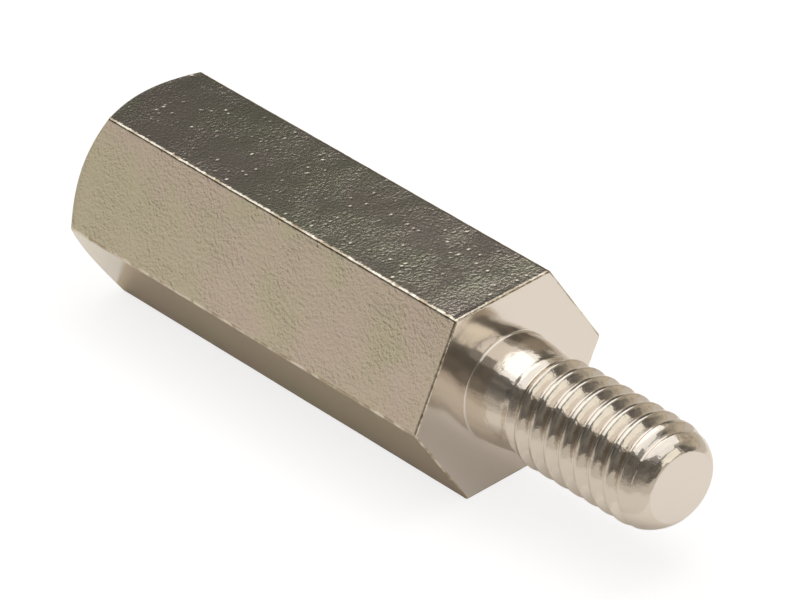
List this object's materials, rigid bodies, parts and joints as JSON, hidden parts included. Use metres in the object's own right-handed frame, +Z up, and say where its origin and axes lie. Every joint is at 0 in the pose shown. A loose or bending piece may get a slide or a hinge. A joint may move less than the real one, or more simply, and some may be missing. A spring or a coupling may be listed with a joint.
{
  "type": "hex standoff",
  "caption": "Male-to-female hexagon standoff: a threaded stud on one end and a blind tapped hole with a turned chamfer on the other, in bright nickel-plated brass, lying on a flat.",
  "frame": {"origin": "on the axis in the shoulder face, where the stud leaves the hexagon body and a board seats", "axes": "+X along the axis, out of the shoulder and along the stud to its tip; +Z up, square to the flat that the piece lies on, which is at Z = -3.5 mm; the tapped hole opens towards -X"},
  "size_m": [0.0262, 0.008, 0.007],
  "materials": {
    "nickel_plate": "polished"
  },
  "bodies": {
    "root": {"standoff": "nickel_plate"}
  },
  "joints": []
}
